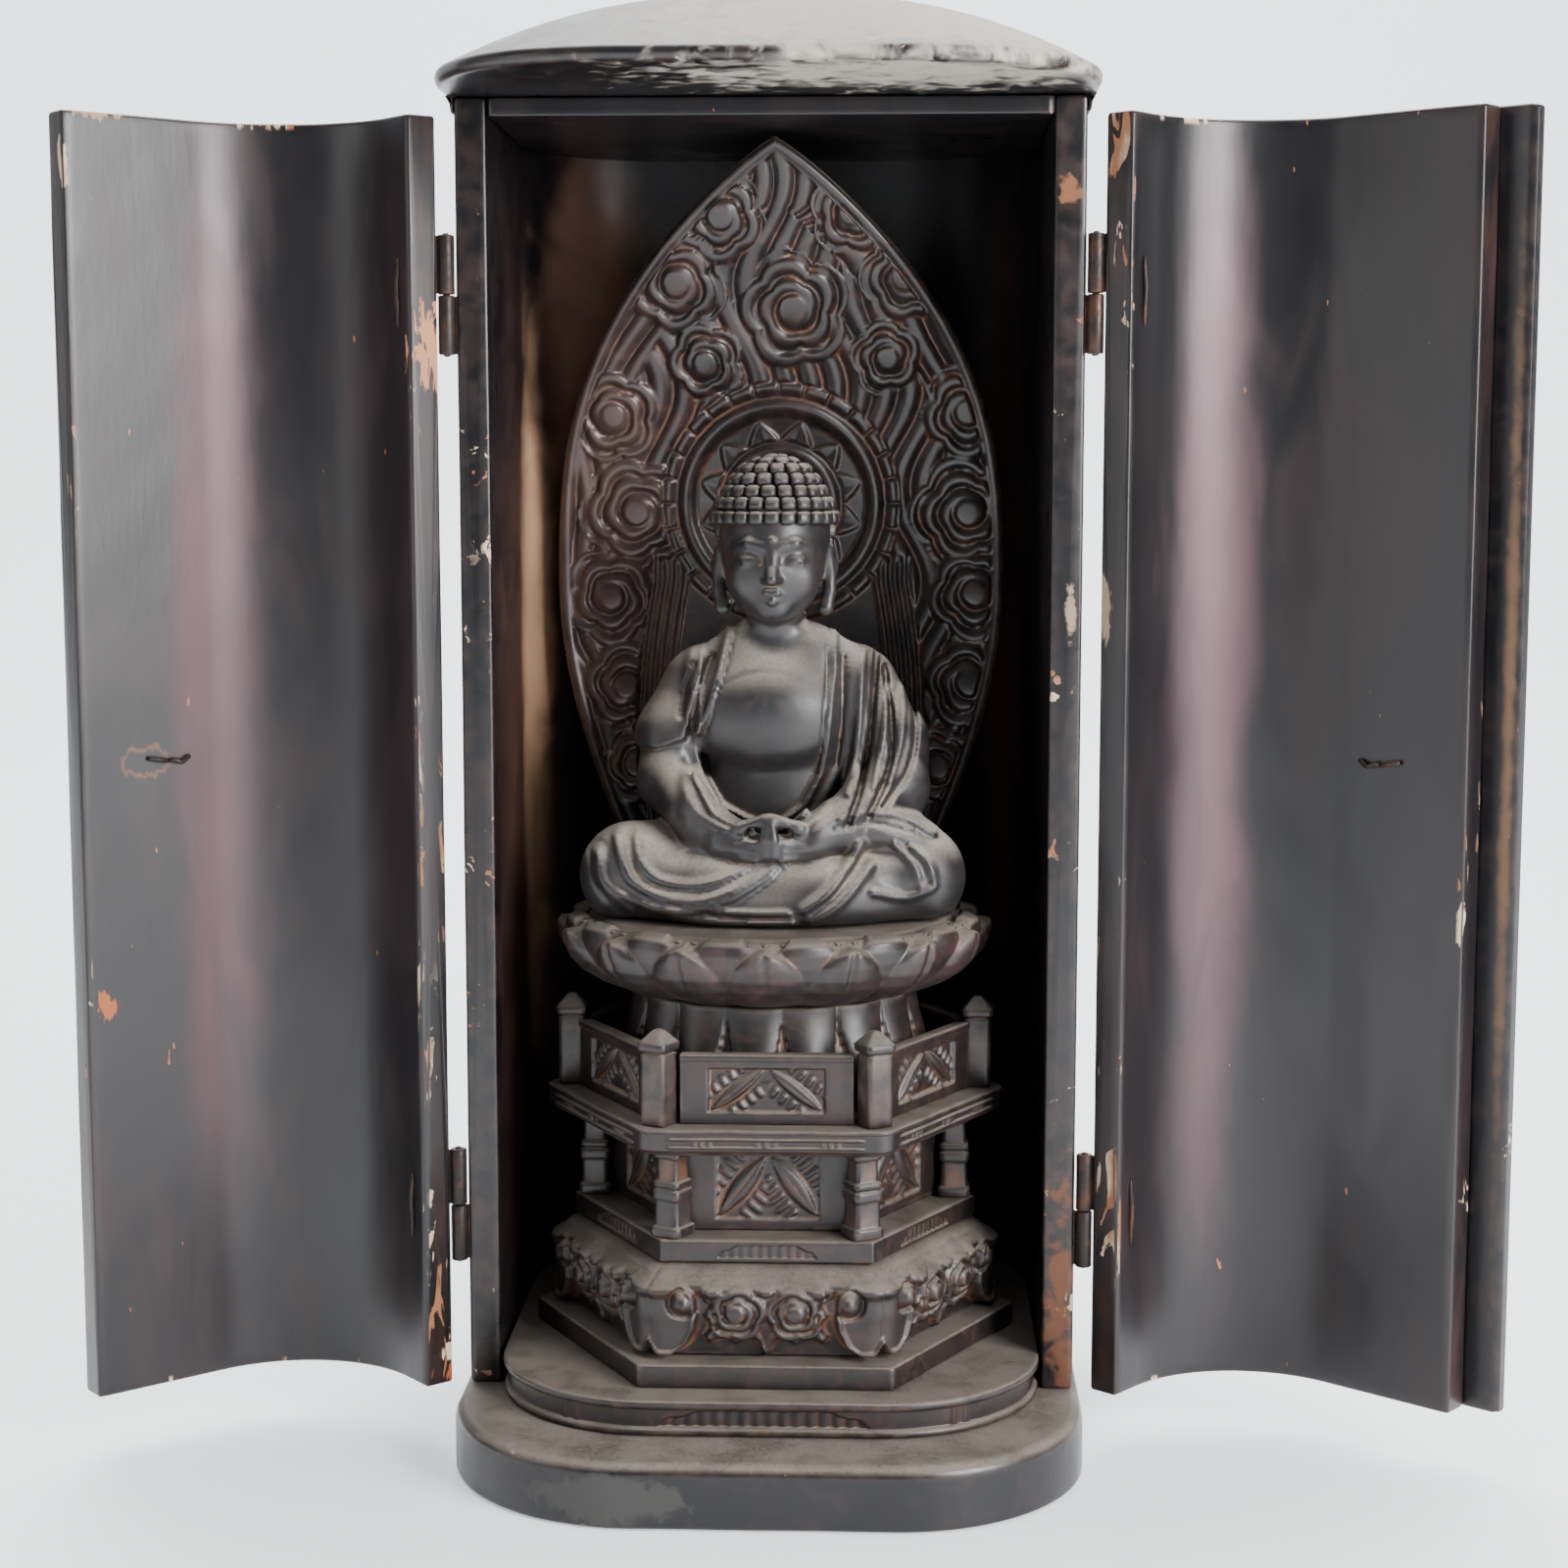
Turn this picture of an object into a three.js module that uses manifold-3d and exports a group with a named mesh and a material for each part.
// Folding shrine box: a lacquered wooden cabinet with two curved doors, a hexagonal pedestal,
// a lotus seat, a seated figure and a flame-shaped halo behind it.
// Millimetres, +Z up. +X is the viewer's right, the doors open towards -Y,
// and the origin is at the centre of the base's underside.
import * as THREE from 'three';
import { mergeVertices } from 'three/addons/utils/BufferGeometryUtils.js';
import Module from 'manifold-3d';

const wasm = await Module();
wasm.setup();

// Cabinet sizes
const fitGap = 0.3;             // clearance between pieces that touch
const shellWidth = 157;         // outside, across the walls
const wall = 8;                 // wall and door thickness
const shellDepth = 108;         // front edge of the walls to the outside of the back
const shellBackRadius = 46;     // outside radius of the two back corners
const baseHeight = 16;
const baseOverhang = 2;         // beyond the shell, sides and back
const baseEdgeRadius = 3;
const shellHeight = 329;
const boardThickness = 4.6;     // ceiling board
const doorSideLength = 10.8;    // straight part of a closed door, before its curve
const doorRadius = 42.8;        // outside radius of a door's curve
const doorClearanceBottom = 0.8;
const doorClearanceTop = 4.6;
const doorEdgeGap = 0.5;        // closed door to the shell's front edge
const doorMeetingGap = 0.8;     // between the two closed doors
const stripWidth = 18;          // meeting strip on the right door
const stripThickness = 3.9;
const leftOpenAngle = 139.4;    // how far each door stands open, degrees
const rightOpenAngle = 140.1;
const roofOverhang = 2.6;
const roofRimHeight = 3.6;
const domeHeight = 22.4;
const coveHeight = 4;           // hollow moulding under the roof's rim
const coveReach = 2.2;

// Hinge sizes
const hingeHeight = 29.5;
const hingeTopInset = 29;       // door's top edge to the upper hinge
const hingeBottomInset = 32.5;  // door's bottom edge to the lower hinge
const knuckleRadius = 2.1;
const boreRadius = 1.2;
const pinRadius = 0.9;
const leafThickness = 0.8;
const leafReach = 6.6;
const leafEdge = 2.5;           // axis to the near edge of a leaf
const staplePinRadius = 1.1;
const stapleFromEdge = 24;      // free edge of a door to its latch staple
const stapleHeight = 180;       // above the ground

// Dais and pedestal sizes
const daisHeight = 8.9;
const daisSetBack = 18.8;       // behind the front of the base
const daisFrontRadius = 42;
const daisSideGap = 0.6;
const daisBandDepth = 1.4;
const pedestalCentre = 26;      // behind the shell's front edge
const footSide = 64;            // sides of the pedestal's hexagons
const footHeight = 5.8;
const scrollSide = 61;
const scrollHeight = 23;
const plateSide = 53.5;
const plateHeight = 5.9;
const waistSide = 43;
const waistHeight = 22.4;
const columnCircle = 48;        // pedestal centre to a column's middle
const columnWidth = 8.6;
const platformSide = 61.5;
const platformHeight = 6.9;
const platformCorner = 5;
const railSide = 54;
const railHeight = 17.6;
const railThickness = 3.2;
const postWidth = 7;
const postHeight = 24;
const ringRadius = 42.4;
const ringHeight = 27.2;
const lotusRadius = 57.4;
const lotusHeight = 20;
const lotusNeck = 34;
const petalCount = 12;
const figureHeight = 118;
const haloHeight = 200.4;       // flame-shaped halo, foot to tip
const haloWidth = 124;
const haloThickness = 5;
const haloSetBack = 36;         // figure's middle to the halo's foot
const haloBowDepth = 10;        // how far back the halo's face bows
const haloTipLean = 30;         // how far forward its tip leans
const haloRimWidth = 3.4;
const haloRimRise = 1.6;

// Levels and places worked out from the sizes
const shellBottom = baseHeight + fitGap;
const shellTop = shellBottom + shellHeight;
const innerHalf = shellWidth / 2 - wall;
const innerBack = shellDepth - wall;
const doorDepth = doorSideLength + doorRadius;
const baseFront = -(doorDepth + fitGap + stripThickness);
const baseBack = shellDepth + baseOverhang;
const baseCentre = (baseFront + baseBack) / 2;
const doorBottom = baseHeight + doorClearanceBottom;
const doorTop = shellTop - doorClearanceTop;
const hingeAxisX = shellWidth / 2 + knuckleRadius + fitGap;
const hingeAxisY = -doorEdgeGap / 2;
const daisBottom = baseHeight + fitGap;
const daisTop = daisBottom + daisHeight;
const footBottom = daisTop + fitGap;
const scrollBottom = footBottom + footHeight + fitGap;
const plateBottom = scrollBottom + scrollHeight + fitGap;
const waistBottom = plateBottom + plateHeight + fitGap;
const platformBottom = waistBottom + waistHeight + fitGap;
const deck = platformBottom + platformHeight + fitGap;
const lotusBottom = deck + ringHeight + fitGap;
const seat = lotusBottom + lotusHeight + fitGap;
const HEX = Math.PI / 3;
const SHRINK = Math.cos(HEX / 2);

// Finishes
const lacquer = new THREE.MeshStandardMaterial({ color: 0x17151a, roughness: 0.38, metalness: 0 });
const inner = new THREE.MeshStandardMaterial({ color: 0x2a2226, roughness: 0.35, metalness: 0 });
const carved = new THREE.MeshStandardMaterial({ color: 0x2b2624, roughness: 0.6, metalness: 0 });
const iron = new THREE.MeshStandardMaterial({ color: 0x24201f, roughness: 0.55, metalness: 0.8 });

// Turn a closed geometry into a solid that can be joined and cut
function solidOf(geometry) {
  const bare = geometry.clone();
  for (const name of Object.keys(bare.attributes)) {
    if (name !== 'position') {
      bare.deleteAttribute(name);
    }
  }
  const merged = mergeVertices(bare, 1e-4);
  const mesh = new wasm.Mesh({
    numProp: 3,
    vertProperties: new Float32Array(merged.attributes.position.array),
    triVerts: new Uint32Array(merged.index.array),
  });
  mesh.merge();
  return new wasm.Manifold(mesh);
}

function geometryOf(solid) {
  const mesh = solid.getMesh();
  const geometry = new THREE.BufferGeometry();
  geometry.setAttribute('position', new THREE.BufferAttribute(new Float32Array(mesh.vertProperties), 3));
  geometry.setIndex(new THREE.BufferAttribute(new Uint32Array(mesh.triVerts), 1));
  geometry.computeVertexNormals();
  return geometry;
}

function joined(geometries) {
  return geometries.map(solidOf).reduce((sum, solid) => sum.add(solid));
}

// Skin over rings of points, each ring counter-clockwise about the way it advances
function skin(rings) {
  const count = rings[0].length;
  const points = rings.flat();
  const index = [];
  for (let i = 0; i + 1 < rings.length; i += 1) {
    for (let j = 0; j < count; j += 1) {
      const next = (j + 1) % count;
      const low = i * count;
      const high = low + count;
      index.push(low + j, low + next, high + next, low + j, high + next, high + j);
    }
  }
  const middle = (ring) => ring.reduce((sum, p) => sum.clone().add(p)).divideScalar(count);
  const start = points.push(middle(rings[0])) - 1;
  const end = points.push(middle(rings.at(-1))) - 1;
  const last = (rings.length - 1) * count;
  for (let j = 0; j < count; j += 1) {
    const next = (j + 1) % count;
    index.push(start, next, j, end, last + j, last + next);
  }
  const geometry = new THREE.BufferGeometry().setFromPoints(points);
  geometry.setIndex(index);
  geometry.computeVertexNormals();
  return geometry;
}

// Stack of flat outlines: each level gives a height and how far the outline draws in
function stack(outline, levels) {
  return skin(levels.map(([z, inset]) => outline(inset).map((p) => new THREE.Vector3(p.x, p.y, z))));
}

// Outline extruded upwards between two heights
function prism(points, low, high) {
  const geometry = new THREE.ExtrudeGeometry(new THREE.Shape(points), {
    depth: high - low, bevelEnabled: false, steps: 1,
  });
  return geometry.translate(0, 0, low);
}

// Shape drawn on X and Z, with its face towards -Y and its back at a given depth
function relief(shape, face, depth) {
  const geometry = new THREE.ExtrudeGeometry(shape, { depth, bevelEnabled: false, steps: 1 });
  return geometry.rotateX(Math.PI / 2).translate(0, face + depth, 0);
}

function box(x0, x1, y0, y1, z0, z1) {
  const geometry = new THREE.BoxGeometry(x1 - x0, y1 - y0, z1 - z0);
  return geometry.translate((x0 + x1) / 2, (y0 + y1) / 2, (z0 + z1) / 2);
}

function rod(radius, low, high, sides = 8) {
  return new THREE.CylinderGeometry(radius, radius, high - low, sides)
    .rotateX(Math.PI / 2).translate(0, 0, (low + high) / 2);
}

// Tube through points, with a radius across and a radius along the up direction at each point
function tube(points, radii, sides, steps) {
  const curve = new THREE.CatmullRomCurve3(points.map((p) => new THREE.Vector3(...p)));
  const up = new THREE.Vector3(0, 0.3, 1).normalize();
  const rings = [];
  for (let i = 0; i <= steps; i += 1) {
    const t = i / steps;
    const centre = curve.getPoint(t);
    const along = curve.getTangent(t);
    const across = new THREE.Vector3().crossVectors(up, along).normalize();
    const over = new THREE.Vector3().crossVectors(along, across);
    const place = t * (radii.length - 1);
    const before = Math.min(Math.floor(place), radii.length - 2);
    const mix = place - before;
    const a = THREE.MathUtils.lerp(radii[before][0], radii[before + 1][0], mix);
    const b = THREE.MathUtils.lerp(radii[before][1], radii[before + 1][1], mix);
    const ring = [];
    for (let j = 0; j < sides; j += 1) {
      const angle = (2 * Math.PI * j) / sides;
      ring.push(centre.clone().addScaledVector(across, a * Math.cos(angle))
        .addScaledVector(over, b * Math.sin(angle)));
    }
    rings.push(ring);
  }
  return skin(rings);
}

function ellipsoid(centre, radii, around = 14, down = 9) {
  return new THREE.SphereGeometry(1, around, down).rotateX(Math.PI / 2)
    .scale(...radii).translate(...centre);
}

// Mirror image in the plane x = 0, with the faces still pointing out
function mirrored(geometry) {
  const copy = (geometry.index ? geometry.toNonIndexed() : geometry.clone()).scale(-1, 1, 1);
  const position = copy.attributes.position;
  const a = new THREE.Vector3();
  const b = new THREE.Vector3();
  for (let i = 0; i < position.count; i += 3) {
    a.fromBufferAttribute(position, i);
    b.fromBufferAttribute(position, i + 1);
    position.setXYZ(i, b.x, b.y, b.z);
    position.setXYZ(i + 1, a.x, a.y, a.z);
  }
  return copy;
}

function piece(name, shape, material) {
  const mesh = new THREE.Mesh(shape.isBufferGeometry ? shape : geometryOf(shape), material);
  mesh.name = name;
  return mesh;
}

// Outline with a rounded front and rounded back corners, counter-clockwise
function dOutline(half, front, frontRadius, back, backRadius, arcSteps) {
  const points = [];
  const corner = (x, y, radius, from) => {
    for (let i = 0; i <= arcSteps; i += 1) {
      const angle = from + (Math.PI / 2) * (i / arcSteps);
      points.push(new THREE.Vector2(x + radius * Math.cos(angle), y + radius * Math.sin(angle)));
    }
  };
  corner(half - backRadius, back - backRadius, backRadius, 0);
  corner(-half + backRadius, back - backRadius, backRadius, Math.PI / 2);
  corner(-half + frontRadius, front + frontRadius, frontRadius, Math.PI);
  corner(half - frontRadius, front + frontRadius, frontRadius, 1.5 * Math.PI);
  return points;
}

// Path round the outside of the shell, from its left front edge by the back to the right
function shellPath(offset, arcSteps) {
  const half = shellWidth / 2 - offset;
  const back = shellDepth - offset;
  const radius = shellBackRadius - offset;
  const points = [new THREE.Vector2(half, 0)];
  for (const [side, from] of [[1, 0], [-1, Math.PI / 2]]) {
    for (let i = 0; i <= arcSteps; i += 1) {
      const angle = from + (Math.PI / 2) * (i / arcSteps);
      points.push(new THREE.Vector2(
        side * (half - radius) + radius * Math.cos(angle), back - radius + radius * Math.sin(angle)));
    }
  }
  points.push(new THREE.Vector2(-half, 0));
  return points;
}

function base() {
  const outline = (inset) => dOutline(shellWidth / 2 + baseOverhang - inset, baseFront + inset,
    doorRadius + baseOverhang + stripThickness - inset, baseBack - inset,
    shellBackRadius + baseOverhang - inset, 7);
  const soft = baseEdgeRadius * (1 - Math.SQRT1_2);
  return stack(outline, [[0, 0.8], [0.8, 0], [baseHeight - baseEdgeRadius, 0],
    [baseHeight - soft, soft], [baseHeight, baseEdgeRadius]]);
}

// Low arch with a cusp at each end, as cut under old benches
function kozama(width, height, low) {
  const half = width / 2;
  const shape = new THREE.Shape();
  shape.moveTo(-half, low);
  shape.quadraticCurveTo(-half * 0.98, low + height * 0.55, -half * 0.8, low + height * 0.6);
  shape.quadraticCurveTo(-half * 0.66, low + height, -half * 0.4, low + height);
  shape.lineTo(half * 0.4, low + height);
  shape.quadraticCurveTo(half * 0.66, low + height, half * 0.8, low + height * 0.6);
  shape.quadraticCurveTo(half * 0.98, low + height * 0.55, half, low);
  return new THREE.Shape(shape.getPoints(2));
}

function dais() {
  const front = baseFront + daisSetBack;
  const outline = (inset) => dOutline(innerHalf - daisSideGap - inset, front + inset,
    daisFrontRadius - inset, innerBack - daisSideGap - inset, shellBackRadius - wall - inset, 4);
  const lip = daisTop - 2.2;
  const bead = daisBottom + 2;
  const body = stack(outline, [[daisBottom, 0.9], [daisBottom + 1, 0.3], [bead, 0.9],
    [bead, daisBandDepth], [lip, daisBandDepth], [lip, 0.5], [daisTop - 1, 0], [daisTop, 0.5]]);
  const arch = relief(kozama(54, lip - bead - 0.4, bead), front - 1, daisBandDepth + 2);
  return solidOf(body).subtract(solidOf(arch));
}

// Pocket in an edge face for a hinge leaf, on the left side, in the closed position
function leafPocket(face, into, centre) {
  const near = -hingeAxisX + leafEdge - 2;
  const far = -hingeAxisX + leafEdge + leafReach + fitGap;
  const deep = face + into * (leafThickness + 2 * fitGap);
  return box(near, far, Math.min(face - into, deep), Math.max(face - into, deep),
    centre - hingeHeight / 2 - fitGap, centre + hingeHeight / 2 + fitGap);
}

const hingeCentres = {
  lower: doorBottom + hingeBottomInset + hingeHeight / 2,
  upper: doorTop - hingeTopInset - hingeHeight / 2,
};

function shell() {
  const outside = shellPath(0, 8);
  const inside = shellPath(wall, 8).reverse();
  let solid = solidOf(prism([...outside, ...inside], shellBottom, shellTop));
  for (const centre of Object.values(hingeCentres)) {
    const pocket = leafPocket(0, 1, centre);
    solid = solid.subtract(solidOf(pocket)).subtract(solidOf(mirrored(pocket)));
  }
  return solid;
}

function ceilingBoard() {
  const path = shellPath(wall + fitGap, 8);
  return prism(path, shellTop - boardThickness, shellTop);
}

function roof() {
  const half = shellWidth / 2 + roofOverhang;
  const front = baseFront - (roofOverhang - baseOverhang);
  const back = shellDepth + roofOverhang;
  const outline = (inset) => dOutline(half - inset, front + inset, doorRadius + roofOverhang
    + stripThickness - inset, back - inset, shellBackRadius + roofOverhang - inset, 5);
  const centre = new THREE.Vector2(0, (front + back) / 2);
  const low = shellTop + fitGap;
  const rim = low + roofRimHeight;
  const rings = [[low, 1.2], [low + 0.8, 0.2], [low + 2.2, 0], [rim, 0.9]].map(([z, inset]) =>
    outline(inset).map((p) => new THREE.Vector3(p.x, p.y, z)));
  for (const share of [0.88, 0.66, 0.36, 0.12]) {
    const z = rim + domeHeight * (1 - share ** 2.2);
    rings.push(outline(0.9).map((p) => {
      const q = p.clone().sub(centre).multiplyScalar(share).add(centre);
      return new THREE.Vector3(q.x, q.y, z);
    }));
  }
  const section = [[fitGap, -coveHeight], [fitGap + 0.5, -coveHeight], [0.9, -coveHeight / 2],
    [coveReach, 0.2], [fitGap, 0.2]];
  const lines = section.map(([out]) => shellPath(-out, 8));
  const cove = lines[0].map((unused, i) =>
    section.map(([, up], k) => new THREE.Vector3(lines[k][i].x, lines[k][i].y, low + up)).reverse());
  return joined([skin(rings), skin(cove)]);
}

// Closed door of the left side, placed about its hinge axis
function doorProfile() {
  const half = shellWidth / 2;
  const meeting = -doorMeetingGap / 2;
  const centre = -half + doorRadius;
  const doorArcSteps = 10;
  const arc = (radius, from, to) => {
    const points = [];
    for (let i = 0; i <= doorArcSteps; i += 1) {
      const angle = THREE.MathUtils.lerp(from, to, i / doorArcSteps);
      points.push(new THREE.Vector2(
        centre + radius * Math.cos(angle), -doorSideLength + radius * Math.sin(angle)));
    }
    return points;
  };
  return [
    new THREE.Vector2(-half, -doorEdgeGap),
    ...arc(doorRadius, Math.PI, 1.5 * Math.PI),
    new THREE.Vector2(meeting, -doorDepth),
    new THREE.Vector2(meeting, -doorDepth + wall),
    ...arc(doorRadius - wall, 1.5 * Math.PI, Math.PI),
    new THREE.Vector2(-half + wall, -doorEdgeGap),
  ];
}

function stapleHole() {
  return rod(staplePinRadius + fitGap, -wall, wall).rotateX(Math.PI / 2)
    .translate(-stapleFromEdge, -doorDepth + wall / 2, stapleHeight);
}

function door() {
  let solid = solidOf(prism(doorProfile(), doorBottom, doorTop)).subtract(solidOf(stapleHole()));
  for (const centre of Object.values(hingeCentres)) {
    solid = solid.subtract(solidOf(leafPocket(-doorEdgeGap, -1, centre)));
  }
  return geometryOf(solid).translate(hingeAxisX, -hingeAxisY, 0);
}

function meetingStrip() {
  const outer = -doorDepth - fitGap;
  const shape = [
    new THREE.Vector2(-stripWidth / 2, outer),
    new THREE.Vector2(-stripWidth / 2, outer - stripThickness + 1),
    new THREE.Vector2(-stripWidth / 2 + 1, outer - stripThickness),
    new THREE.Vector2(stripWidth / 2 - 1, outer - stripThickness),
    new THREE.Vector2(stripWidth / 2, outer - stripThickness + 1),
    new THREE.Vector2(stripWidth / 2, outer),
  ];
  return prism(shape, doorBottom, doorTop).translate(-hingeAxisX, -hingeAxisY, 0);
}

// Split pin through the door: a ring outside, two bent prongs inside
function latchStaple() {
  const outside = -doorDepth;
  const inside = outside + wall;
  const place = (geometry) => geometry.translate(-stapleFromEdge, 0, stapleHeight);
  const shank = rod(staplePinRadius, outside - 3, inside + 0.9);
  shank.translate(0, 0, -(outside + inside) / 2).rotateX(-Math.PI / 2)
    .translate(0, (outside + inside) / 2, 0);
  const eye = new THREE.TorusGeometry(2.2, 0.8, 4, 7).rotateY(Math.PI / 2)
    .translate(0, outside - 4.6, 0);
  const prong = (way) => box(way > 0 ? 0 : -5.2, way > 0 ? 5.2 : 0,
    inside + fitGap, inside + 1.5, -0.9, 0.9);
  return geometryOf(joined([shank, eye, prong(1), prong(-1)].map(place)))
    .translate(hingeAxisX, -hingeAxisY, 0);
}

// Leaf with half of the knuckle, about the hinge axis, on the left side in the closed position
function hingeLeaf(centre, into, upperHalf) {
  const low = centre - hingeHeight / 2;
  const high = centre + hingeHeight / 2;
  const from = upperHalf ? centre + fitGap / 2 : low;
  const to = upperHalf ? high : centre - fitGap / 2;
  const near = into > 0 ? doorEdgeGap / 2 + fitGap : -doorEdgeGap / 2 - fitGap - leafThickness;
  const plate = box(leafEdge, leafEdge + leafReach, near, near + leafThickness, low, high);
  const strap = box(boreRadius + 0.2, leafEdge + 0.5, near, near + leafThickness, from, to);
  const knuckle = solidOf(rod(knuckleRadius, from, to)).add(solidOf(strap));
  return geometryOf(knuckle.subtract(solidOf(rod(boreRadius, low - 1, high + 1))).add(solidOf(plate)));
}

function hingePin(centre) {
  return rod(pinRadius, centre - hingeHeight / 2 - 0.5, centre + hingeHeight / 2 + 0.5);
}

// Hexagon with corners on the X axis and flats to the front and back
function hexOutline(side, radius = 0) {
  const points = [];
  for (let k = 0; k < 6; k += 1) {
    const reach = side - radius / SHRINK;
    const turns = radius > 0 ? [-0.5, 0, 0.5] : [0];
    for (const turn of turns) {
      const angle = HEX * (k + turn);
      points.push(new THREE.Vector2(reach * Math.cos(HEX * k) + radius * Math.cos(angle),
        reach * Math.sin(HEX * k) + radius * Math.sin(angle)));
    }
  }
  return points;
}

// Ring round a hexagon, with a height of carving above each face
function hexRing(side, columns, z, carving) {
  const ring = [];
  for (let k = 0; k < 6; k += 1) {
    for (let c = 0; c < columns; c += 1) {
      const u = c / columns - 0.5;
      const out = carving(u);
      const point = new THREE.Vector3(u * (side + out / SHRINK), -side * SHRINK - out, z);
      ring.push(point.applyAxisAngle(new THREE.Vector3(0, 0, 1), k * HEX));
    }
  }
  return ring;
}

function bump(distance, radius) {
  return distance < radius ? Math.cos((Math.PI / 2) * (distance / radius)) ** 2 : 0;
}

// Cloud scrolls in pairs on each face, with a leaf-shaped foot at each corner
function scrollBase() {
  const rows = [0, 0.16, 0.34, 0.55, 0.85, 1];
  const swell = [-3.2, -1.2, -0.4, 0, -0.4, -3.4];
  const rings = rows.map((v, i) => hexRing(scrollSide, 8, scrollBottom + v * scrollHeight, (u) => {
    const carve = v > 0.02 && v < 0.9 ? 1 : 0;
    const scroll = Math.max(bump(Math.hypot(u + 0.13, (v - 0.5) * 0.4), 0.11),
      bump(Math.hypot(u - 0.13, (v - 0.5) * 0.4), 0.11));
    const leaf = bump(0.5 - Math.abs(u), 0.16 + 0.1 * (1 - v));
    return swell[i] + carve * (1.6 * scroll + 1.8 * leaf);
  }));
  return skin(rings);
}

function onFaces(count, make) {
  return Array.from({ length: count }, (unused, k) => make(k).rotateZ(k * HEX));
}

function lowerPlate() {
  const side = plateSide;
  const face = -side * SHRINK;
  const body = skin([[0, 0.6], [0.9, 0], [plateHeight - 0.9, 0], [plateHeight, 0.7]].map(([up, inset]) =>
    hexOutline(side - inset).map((p) => new THREE.Vector3(p.x, p.y, plateBottom + up))));
  const arch = relief(kozama(26, plateHeight * 0.55, plateBottom + 1.2), face - 1, 1.8);
  return solidOf(body).subtract(joined(onFaces(6, () => arch.clone())));
}

// Pointed leaf lying on a slant across a panel
function leafShape(length, width, slant, x, z) {
  const shape = new THREE.Shape();
  const turn = (px, pz) => [x + px * Math.cos(slant) - pz * Math.sin(slant),
    z + px * Math.sin(slant) + pz * Math.cos(slant)];
  const half = length / 2;
  shape.moveTo(...turn(-half, 0));
  shape.lineTo(...turn(0, -width / 2));
  shape.lineTo(...turn(half, 0));
  shape.lineTo(...turn(0, width / 2));
  return shape;
}

// Panel with a sunk field and two crossed leaves standing in it, facing -Y
function leafPanel(width, height, low, face, depth, cut) {
  const field = box(-width / 2, width / 2, face - 1, face + cut, low, low + height);
  const slant = Math.atan2(height, width * 0.52);
  const length = Math.hypot(height, width * 0.4) * 0.92;
  const leaves = [-1, 1].map((side) => relief(
    leafShape(length, height * 0.2, side * slant, side * width * 0.2, low + height / 2),
    face + 0.3, cut - 0.3 + depth));
  return { field, leaves };
}

function waistCore() {
  const body = solidOf(skin([waistBottom, waistBottom + waistHeight].map((z) =>
    hexOutline(waistSide).map((p) => new THREE.Vector3(p.x, p.y, z)))));
  const face = -waistSide * SHRINK;
  const width = waistSide * 0.62;
  const { field, leaves } = leafPanel(width, waistHeight - 5, waistBottom + 2.5, face, 0.4, 1.2);
  const cut = body.subtract(joined(onFaces(6, () => field.clone())));
  return cut.add(joined(leaves.flatMap((leaf) => onFaces(6, () => leaf.clone()))));
}

// Square stack: half-widths at heights, about its own axis
function squareStack(levels) {
  return skin(levels.map(([z, half]) => [[-1, -1], [1, -1], [1, 1], [-1, 1]].map(([x, y]) =>
    new THREE.Vector3(x * half, y * half, z))));
}

function column() {
  const half = columnWidth / 2;
  const h = waistHeight;
  return squareStack([[0, half], [h * 0.2, half], [h * 0.26, half * 0.7], [h * 0.5, half * 0.85],
    [h * 0.58, half * 0.62], [h * 0.8, half * 0.62], [h * 0.86, half * 0.8], [h, half * 0.8]]
    .map(([z, size]) => [waistBottom + z, size]));
}

function platform() {
  const outline = (inset) => hexOutline(platformSide - inset, platformCorner);
  const body = solidOf(stack(outline, [[0, 2.4], [1.4, 1.4], [1.6, 0.6], [platformHeight - 0.8, 0],
    [platformHeight, 0.6]].map(([up, inset]) => [platformBottom + up, inset])));
  const face = -(platformSide - 1.2) * SHRINK;
  const bars = [-14, 0, 14].map((x) => {
    const up = platformBottom + (x === 0 ? 4.6 : 2.4);
    return box(x - 6, x + 6, face - 0.7, face + 2, up, up + 1.3);
  });
  return body.add(joined(bars.flatMap((bar) => onFaces(6, () => bar.clone()))));
}

// The panel's ends stop short of the turned square posts at the corners
function railPanel() {
  const slope = Math.tan(HEX / 2);
  const postReach = ((1 + slope) / (SHRINK + slope / 2)) * (postWidth / 2 + fitGap);
  const length = railSide - 2 * postReach;
  const face = -railSide * SHRINK;
  const frame = box(-length / 2, length / 2, face, face + railThickness, deck, deck + railHeight);
  const cap = box(-length / 2, length / 2, face - 0.5, face + railThickness + 0.5,
    deck + railHeight - 1.5, deck + railHeight);
  const width = length * 0.68;
  const { field, leaves } = leafPanel(width, railHeight - 6, deck + 2.6, face, 0.4, 1.2);
  return joined([frame, cap]).subtract(solidOf(field)).add(joined(leaves));
}

function post() {
  const half = postWidth / 2;
  const cap = railHeight + 0.2;
  return squareStack([[deck, half], [deck + cap, half], [deck + cap + 0.6, half * 0.82],
    [deck + cap + 1.2, half * 1.16], [deck + cap + 2.8, half * 1.2], [deck + postHeight, half * 0.16]]);
}

// Round piece whose radius follows height and angle
function turned(levels, columns, radiusAt) {
  return skin(levels.map(([z, radius, v]) => Array.from({ length: columns }, (unused, j) => {
    const angle = (2 * Math.PI * j) / columns;
    const r = radius + radiusAt(angle, v);
    return new THREE.Vector3(r * Math.cos(angle), r * Math.sin(angle), z);
  })));
}

// Height of a row of pointed petals: rounded middles with creases between them
function petalRow(angle, shift) {
  const turn = (angle * petalCount) / (2 * Math.PI) + shift;
  const across = Math.abs(turn - Math.round(turn)) * 2;
  return 1 - across ** 2;
}

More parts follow.
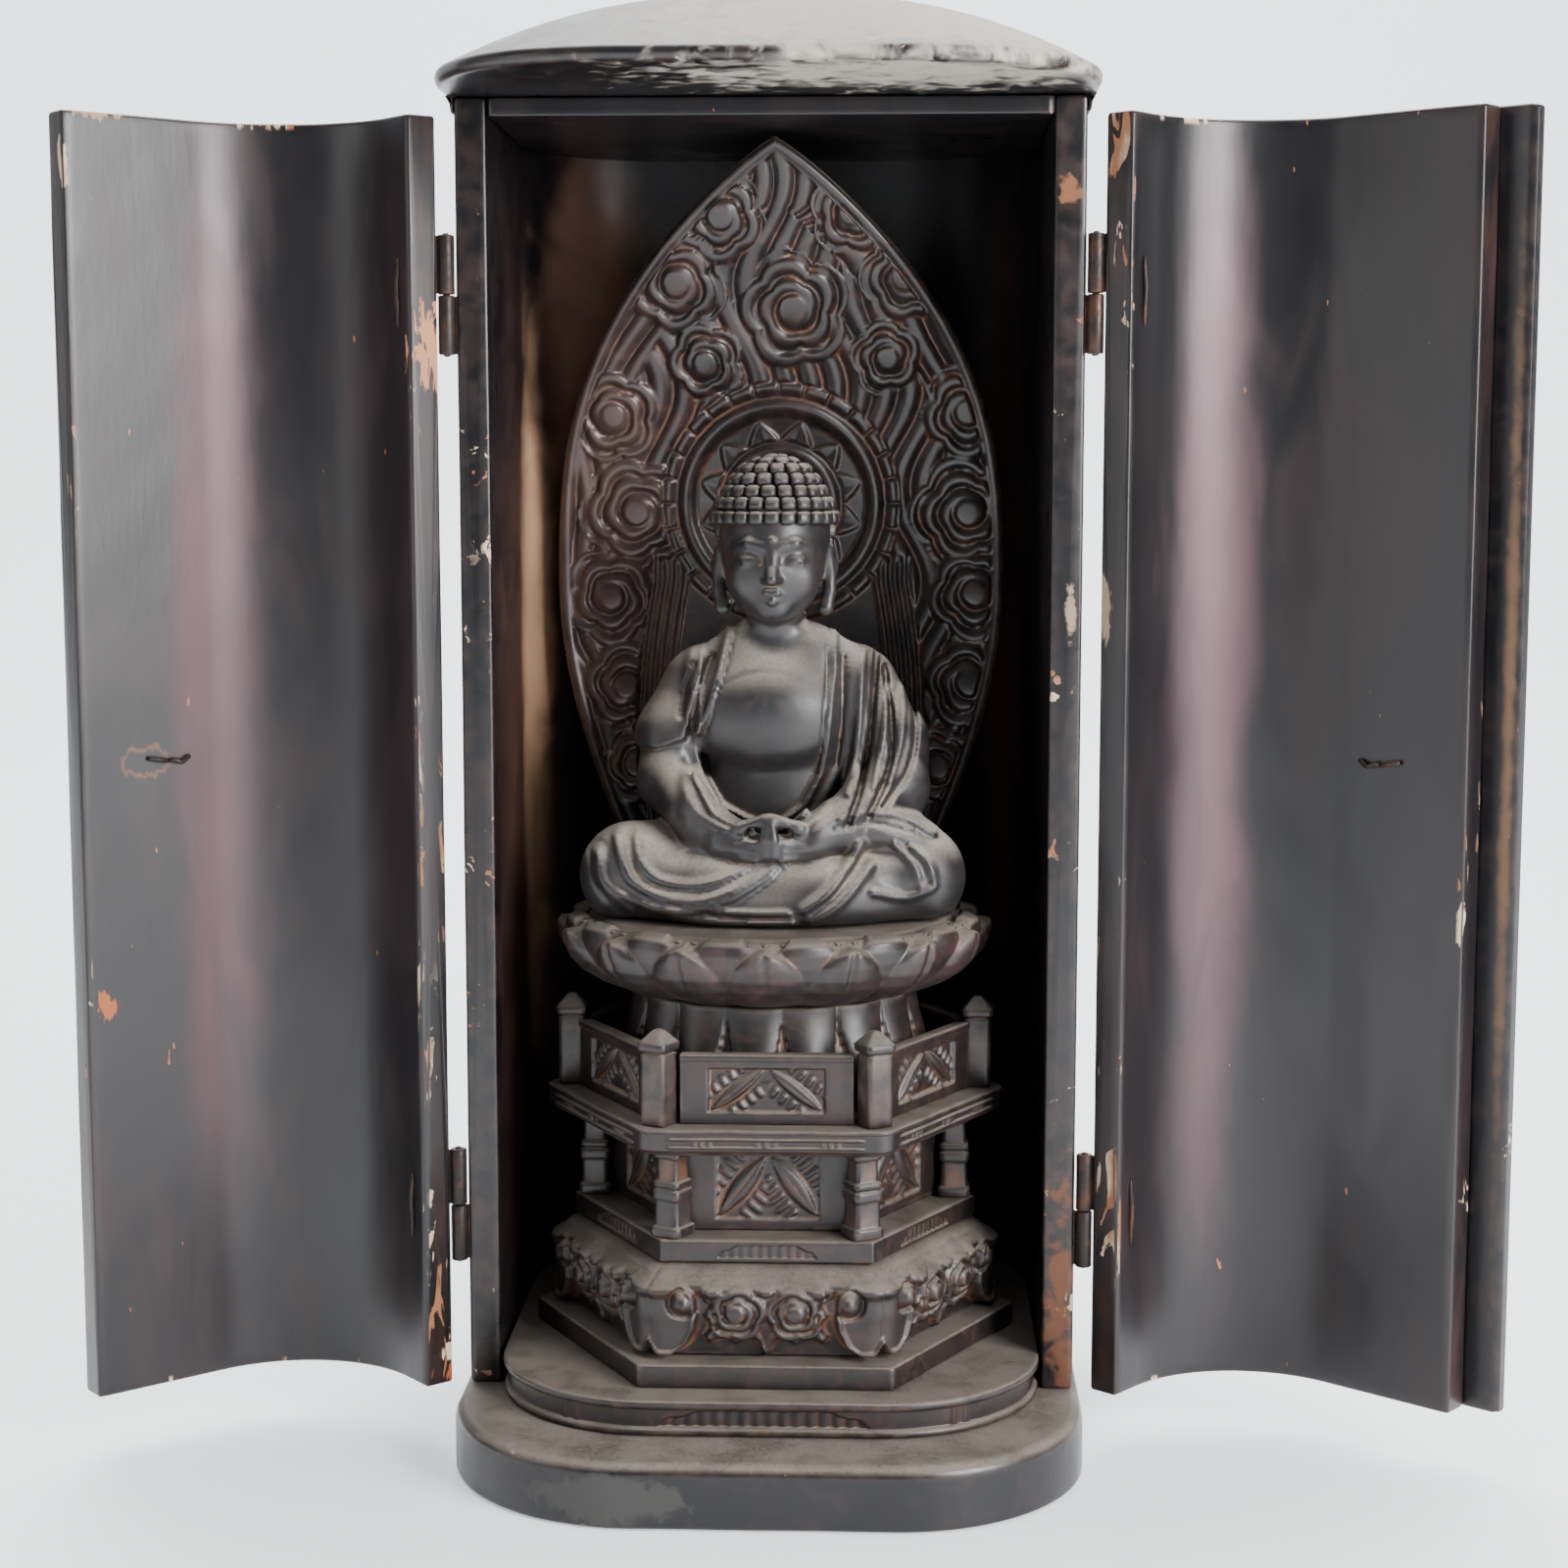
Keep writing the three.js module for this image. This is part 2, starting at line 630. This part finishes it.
function reverseLotus() {
  const h = ringHeight;
  const levels = [[0, ringRadius, 0], [h * 0.3, ringRadius - 0.6, 1], [h * 0.65, ringRadius - 3, 1],
    [h, ringRadius - 6, 0]];
  return turned(levels.map(([z, r, v]) => [deck + z, r, v]), petalCount * 3,
    (angle, v) => v * 1.8 * (petalRow(angle, 0.5) - 0.7));
}

function lotusSeat() {
  const h = lotusHeight;
  const levels = [[0, lotusNeck, 0], [h * 0.06, lotusNeck + 6, 0.2], [h * 0.2, lotusNeck + 14, 0.8],
    [h * 0.42, lotusRadius - 2.6, 1], [h * 0.7, lotusRadius - 0.4, 1], [h * 0.93, lotusRadius - 0.9, 0.7],
    [h, lotusRadius - 3.6, 0]];
  return turned(levels.map(([z, r, v]) => [lotusBottom + z, r, v]), petalCount * 3, (angle, v) => {
    const low = petalRow(angle, 0) - 0.75;
    const high = petalRow(angle, 0.5) - 0.75;
    return 2.2 * v * (v > 0.9 ? Math.max(low, high * 0.5) : high);
  });
}

// Cap of hair in rows of knobs, with the raised crown above it
function curledHair(part) {
  const profile = [[86, 10.5], [91, 14], [96, 15.3], [101, 14.6], [105.5, 11.6], [109, 9.8],
    [113, 8.8], [116.4, 5.6], [118, 2]];
  const columns = 14;
  const rings = profile.map(([z, radius], row) => Array.from({ length: columns }, (unused, j) => {
    const angle = (2 * Math.PI * j) / columns;
    const knob = (j + row) % 2 === 0 ? 0.9 : -0.5;
    const reach = row === 0 || row === profile.length - 1 ? radius : radius + knob;
    return new THREE.Vector3(reach * Math.cos(angle), 3.4 + reach * Math.sin(angle), z)
      .multiplyScalar(part);
  }));
  return skin(rings);
}

// Seated figure, laid out in 118 parts of its height above the seat
function figure() {
  const part = figureHeight / 118;
  const at = (...p) => p.map((value) => value * part);
  const oval = (centre, radii, around, down) => ellipsoid(at(...centre), at(...radii), around, down);
  const limb = (points, radii, sides, steps) => tube(points.map((p) => at(...p)),
    radii.map((r) => at(...r)), sides, steps);
  const both = (geometry) => [geometry, mirrored(geometry)];
  const body = [
    oval([0, 2, 8], [45, 27, 12], 12, 4),
    ...both(oval([-33, -14, 9.5], [17.5, 16, 12], 9, 4)),
    limb([[-30, -22, 14], [0, -30, 9], [34, -18, 8]], [[7, 6], [8, 6], [7, 6]], 6, 3),
    limb([[0, 6, 6], [0, 6, 30], [0, 7, 52], [0, 9, 68], [0, 8, 74]],
      [[27, 19], [23, 16.5], [25, 16], [23, 13], [9, 9]], 10, 4),
    ...both(limb([[-20, 8, 69], [-30, 5, 58], [-35, -2, 37], [-31, -10, 26]],
      [[8, 8], [10, 10.5], [9.5, 10], [8, 8]], 7, 3)),
    ...both(limb([[-35, -2, 34], [-27, -18, 24], [-12, -27, 21], [-2, -30, 21]],
      [[9, 9], [8.5, 8], [6, 5], [4.5, 3.6]], 6, 3)),
    oval([0, -29, 20.5], [10, 6.5, 4], 6, 4),
    limb([[0, 6, 68], [0, 3, 80]], [[8, 8], [7.6, 7.6]], 8, 1),
    oval([0, -1, 92], [13.4, 14.6, 17.2], 10, 6),
    curledHair(part),
    ...both(oval([-14.6, 1.5, 88], [1.8, 3.6, 9.4], 5, 3)),
    limb([[0, -14.6, 95], [0, -17.4, 89.6], [0, -14.6, 86.4]], [[1.2, 1], [1.9, 1.6], [1.6, 1]], 4, 2),
  ];
  const robe = [
    limb([[-13, -2, 76], [-15.4, -10, 60], [0, -15.4, 33], [15.4, -10, 60], [12, -2, 76]],
      [[1.8, 2.2], [1.8, 2.2]], 4, 6),
    limb([[19, -5, 70], [14, -15, 44], [26, -16, 26]], [[2, 2.2], [2, 2]], 4, 3),
    ...both(limb([[-26, -3, 60], [-32, -11, 44], [-29, -16, 30]], [[1.6, 1.8], [1, 1]], 4, 2)),
    limb([[-43, -17, 17], [-14, -31.5, 8], [16, -31, 15]], [[1.6, 1.6], [1.6, 1.6]], 4, 3),
    limb([[36, -27, 17], [6, -35, 8], [-6, -35, 4]], [[1.6, 1.6], [1.8, 1.6]], 4, 3),
    limb([[-45, -12, 11], [-30, -27.5, 5], [-8, -32, 5]], [[1.6, 1.6], [1, 1]], 4, 3),
  ];
  const under = box(-80, 80, -80, 80, -40, 0);
  return joined([...body, ...robe]).subtract(solidOf(under));
}

// Half-width of the halo at a share of its height: a boat-shaped leaf with a point
function haloHalf(v) {
  const foot = 0.62;
  const widest = 0.42;
  if (v < widest) {
    return foot + (1 - foot) * Math.sin((Math.PI / 2) * (v / widest));
  }
  const up = (v - widest) / (1 - widest);
  return Math.cos((Math.PI / 2) * up ** 1.35) ** 0.86;
}

// How far back the halo's face stands: it bows back and its tip leans forward
function haloBow(v) {
  return haloBowDepth * Math.sin(Math.PI * Math.min(v * 1.15, 1))
    - haloTipLean * Math.max(0, 2 * v - 1) ** 1.5;
}

const haloScrolls = [
  [-17, 171, 7.4], [13.5, 173, 7.4], [-28, 156, 8.6], [0.5, 149, 9.6], [27, 157, 8], [-21, 137, 7],
  [23, 138, 6.2], [-44, 124, 8.6], [44, 125, 8.6], [-40, 99, 8.8], [44, 100, 8.8], [-46, 80, 8],
  [48, 80, 8], [-43, 57, 7], [47, 57, 7],
];

function haloCarving(x, z, half) {
  const part = haloHeight / 200;
  const rim = half - Math.abs(x) < haloRimWidth ? haloRimRise : 0;
  const fromCentre = Math.hypot(x, z - 106 * part) / part;
  const halo = Math.max(bump(Math.abs(fromCentre - 25), 3.4), bump(Math.abs(fromCentre - 14), 3.4));
  let scroll = 0;
  for (const [sx, sz, radius] of haloScrolls) {
    scroll = Math.max(scroll, bump(Math.hypot(x / part - sx, z / part - sz), radius * 1.15));
  }
  return Math.max(rim, 1.8 * halo, 2 * scroll);
}

function halo() {
  const rows = 21;
  const columns = 14;
  const rings = [];
  for (let i = 0; i <= rows; i += 1) {
    const v = i / rows;
    const half = Math.max((haloWidth / 2) * haloHalf(v), 1);
    const y = haloSetBack + haloBow(v);
    const z = v * haloHeight;
    const front = [];
    for (let j = 0; j <= columns; j += 1) {
      const x = half * (2 * (j / columns) - 1);
      const thin = j === 0 || j === columns ? 0.8 : 0;
      front.push(new THREE.Vector3(x, y - haloCarving(x, z, half) + thin, z));
    }
    const back = [0.9, 0, -0.9].map((share) => new THREE.Vector3(half * share, y + haloThickness, z));
    rings.push([...front, ...back]);
  }
  return skin(rings);
}

// Assembly
const shrine = new THREE.Group();
const cabinet = new THREE.Group();
cabinet.position.y = -baseCentre;
shrine.add(cabinet);
cabinet.add(
  piece('base', base(), lacquer),
  piece('dais', dais(), carved),
  piece('shell', shell(), lacquer),
  piece('ceiling_board', ceilingBoard(), inner),
  piece('roof', roof(), lacquer),
);

const doorShape = door();
for (const [side, sign, opened] of [['left', -1, leftOpenAngle], ['right', 1, rightOpenAngle]]) {
  const place = (geometry) => (sign < 0 ? geometry : mirrored(geometry));
  const pivot = new THREE.Group();
  pivot.position.set(sign * hingeAxisX, hingeAxisY, 0);
  pivot.rotation.z = sign * THREE.MathUtils.degToRad(opened);
  pivot.add(piece(`door_${side}`, place(doorShape), lacquer));
  pivot.add(piece(`latch_staple_${side}`, place(latchStaple()), iron));
  if (sign > 0) {
    pivot.add(piece('meeting_strip', meetingStrip(), lacquer));
  }
  cabinet.add(pivot);
  for (const [level, centre] of Object.entries(hingeCentres)) {
    const name = `hinge_${level}_${side}`;
    pivot.add(piece(`${name}_door_leaf`, place(hingeLeaf(centre, -1, true)), iron));
    const fixed = new THREE.Group();
    fixed.position.copy(pivot.position);
    fixed.add(piece(`${name}_shell_leaf`, place(hingeLeaf(centre, 1, false)), iron));
    fixed.add(piece(`${name}_pin`, hingePin(centre), iron));
    cabinet.add(fixed);
  }
}

const pedestal = new THREE.Group();
pedestal.position.y = pedestalCentre;
cabinet.add(pedestal);
pedestal.add(
  piece('pedestal_foot', prism(hexOutline(footSide), footBottom, footBottom + footHeight), carved),
  piece('scroll_base', scrollBase(), carved),
  piece('lower_plate', lowerPlate(), carved),
  piece('waist_core', waistCore(), carved),
  piece('platform', platform(), carved),
  piece('reverse_lotus_ring', reverseLotus(), carved),
  piece('lotus_seat', lotusSeat(), carved),
);
for (let k = 0; k < 6; k += 1) {
  const number = k + 1;
  const corner = HEX * (k - 1);
  const columnMesh = piece(`waist_column_${number}`, column(), carved);
  columnMesh.position.set(columnCircle * Math.cos(corner), columnCircle * Math.sin(corner), 0);
  columnMesh.rotation.z = corner;
  const postMesh = piece(`rail_post_${number}`, post(), carved);
  postMesh.position.set(railSide * Math.cos(corner), railSide * Math.sin(corner), 0);
  postMesh.rotation.z = corner;
  const panelMesh = piece(`rail_panel_${number}`, railPanel(), carved);
  panelMesh.rotation.z = k * HEX;
  pedestal.add(columnMesh, postMesh, panelMesh);
}
const figureMesh = piece('figure', figure(), carved);
figureMesh.position.z = seat;
const haloMesh = piece('flame_halo', halo(), carved);
haloMesh.position.z = seat;
pedestal.add(figureMesh, haloMesh);

export default shrine;
